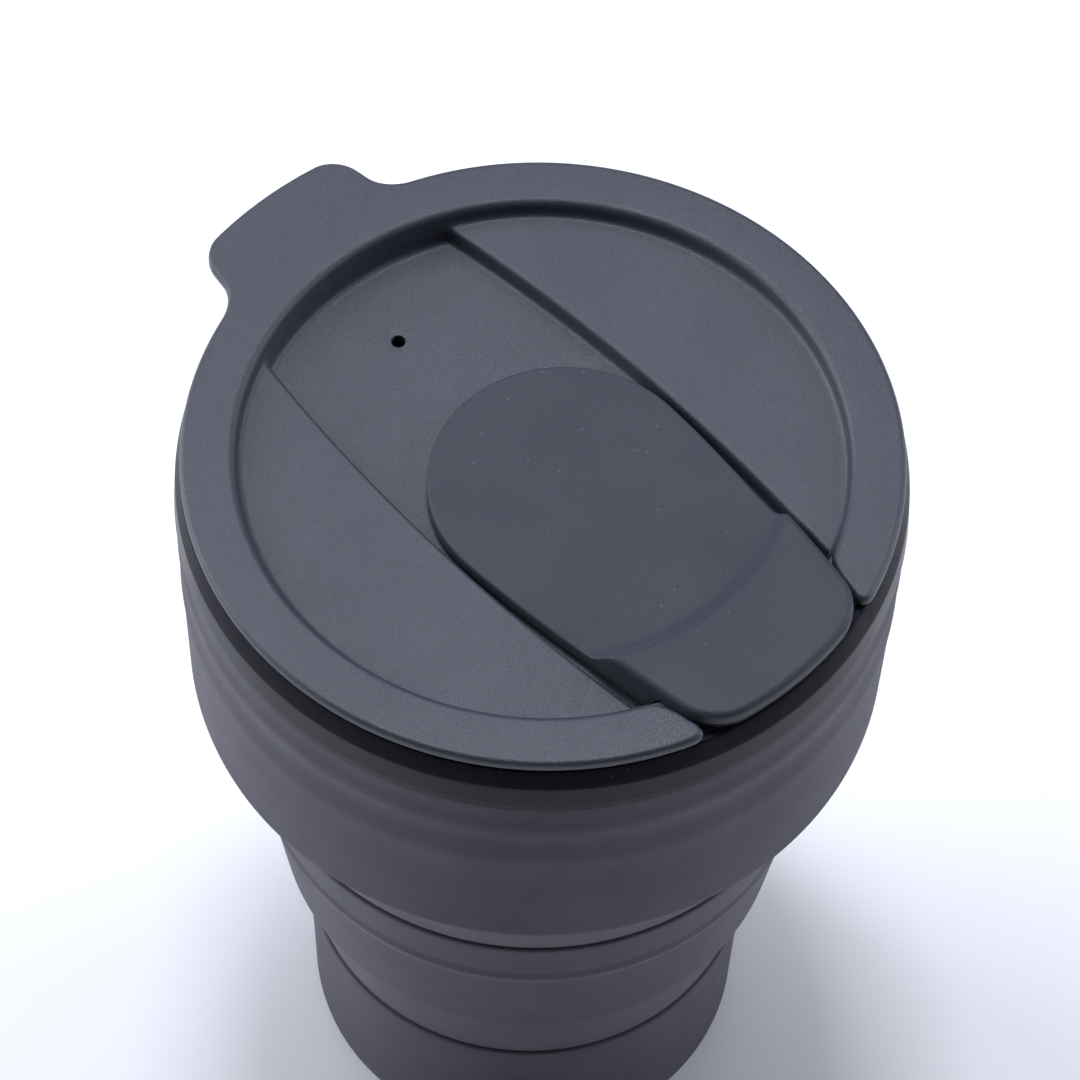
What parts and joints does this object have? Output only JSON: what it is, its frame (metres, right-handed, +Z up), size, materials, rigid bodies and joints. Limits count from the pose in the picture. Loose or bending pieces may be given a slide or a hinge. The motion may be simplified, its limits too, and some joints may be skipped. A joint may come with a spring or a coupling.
{
  "type": "collapsible travel cup",
  "caption": "Collapsible silicone travel cup: tiered body that telescopes on thin folds, hard collar, push-on lid with lift tab, and flip-up sip stopper.",
  "frame": {"origin": "centre of the cup's flat base, on the surface it stands on", "axes": "+Z up along the cup's axis, -Y towards the sip opening and thumb tab, +Y towards the lid's lift tab"},
  "size_m": [0.0972, 0.1042, 0.1425],
  "materials": {
    "silicone_body": "matte moulded silicone, dark grey",
    "collar_plastic": "dark semi-gloss plastic",
    "lid_plastic": "blue-grey polypropylene with a fine spark-eroded grain",
    "silicone_stopper": "smooth matte silicone, dark blue-grey"
  },
  "bodies": {
    "base": {"base_tier": "silicone_body"},
    "middle": {"middle_tier": "silicone_body", "lower_fold": "silicone_body"},
    "upper": {"upper_tier": "silicone_body", "upper_fold": "silicone_body", "collar_ring": "collar_plastic"},
    "lid": {"lid": "lid_plastic", "stopper_anchor": "silicone_stopper"},
    "flap": {"stopper_flap": "silicone_stopper"}
  },
  "joints": [
    {"name": "middle_tier_slide", "type": "slide", "parent": "base", "child": "middle", "axis": [0, 0, 1], "range_m": [-0.031, 0], "deforming": ["lower_fold"]},
    {"name": "upper_tier_slide", "type": "slide", "parent": "middle", "child": "upper", "axis": [0, 0, 1], "range_m": [-0.035, 0], "deforming": ["upper_fold"]},
    {"name": "lid_lift", "type": "slide", "parent": "upper", "child": "lid", "axis": [0, 0, 1], "range_m": [0, 0.05]},
    {"name": "stopper_hinge", "type": "hinge", "parent": "lid", "child": "flap", "pos_m": [0, 0.002, 0.1387], "axis": [-1, 0, 0], "range_deg": [0, 150]}
  ]
}
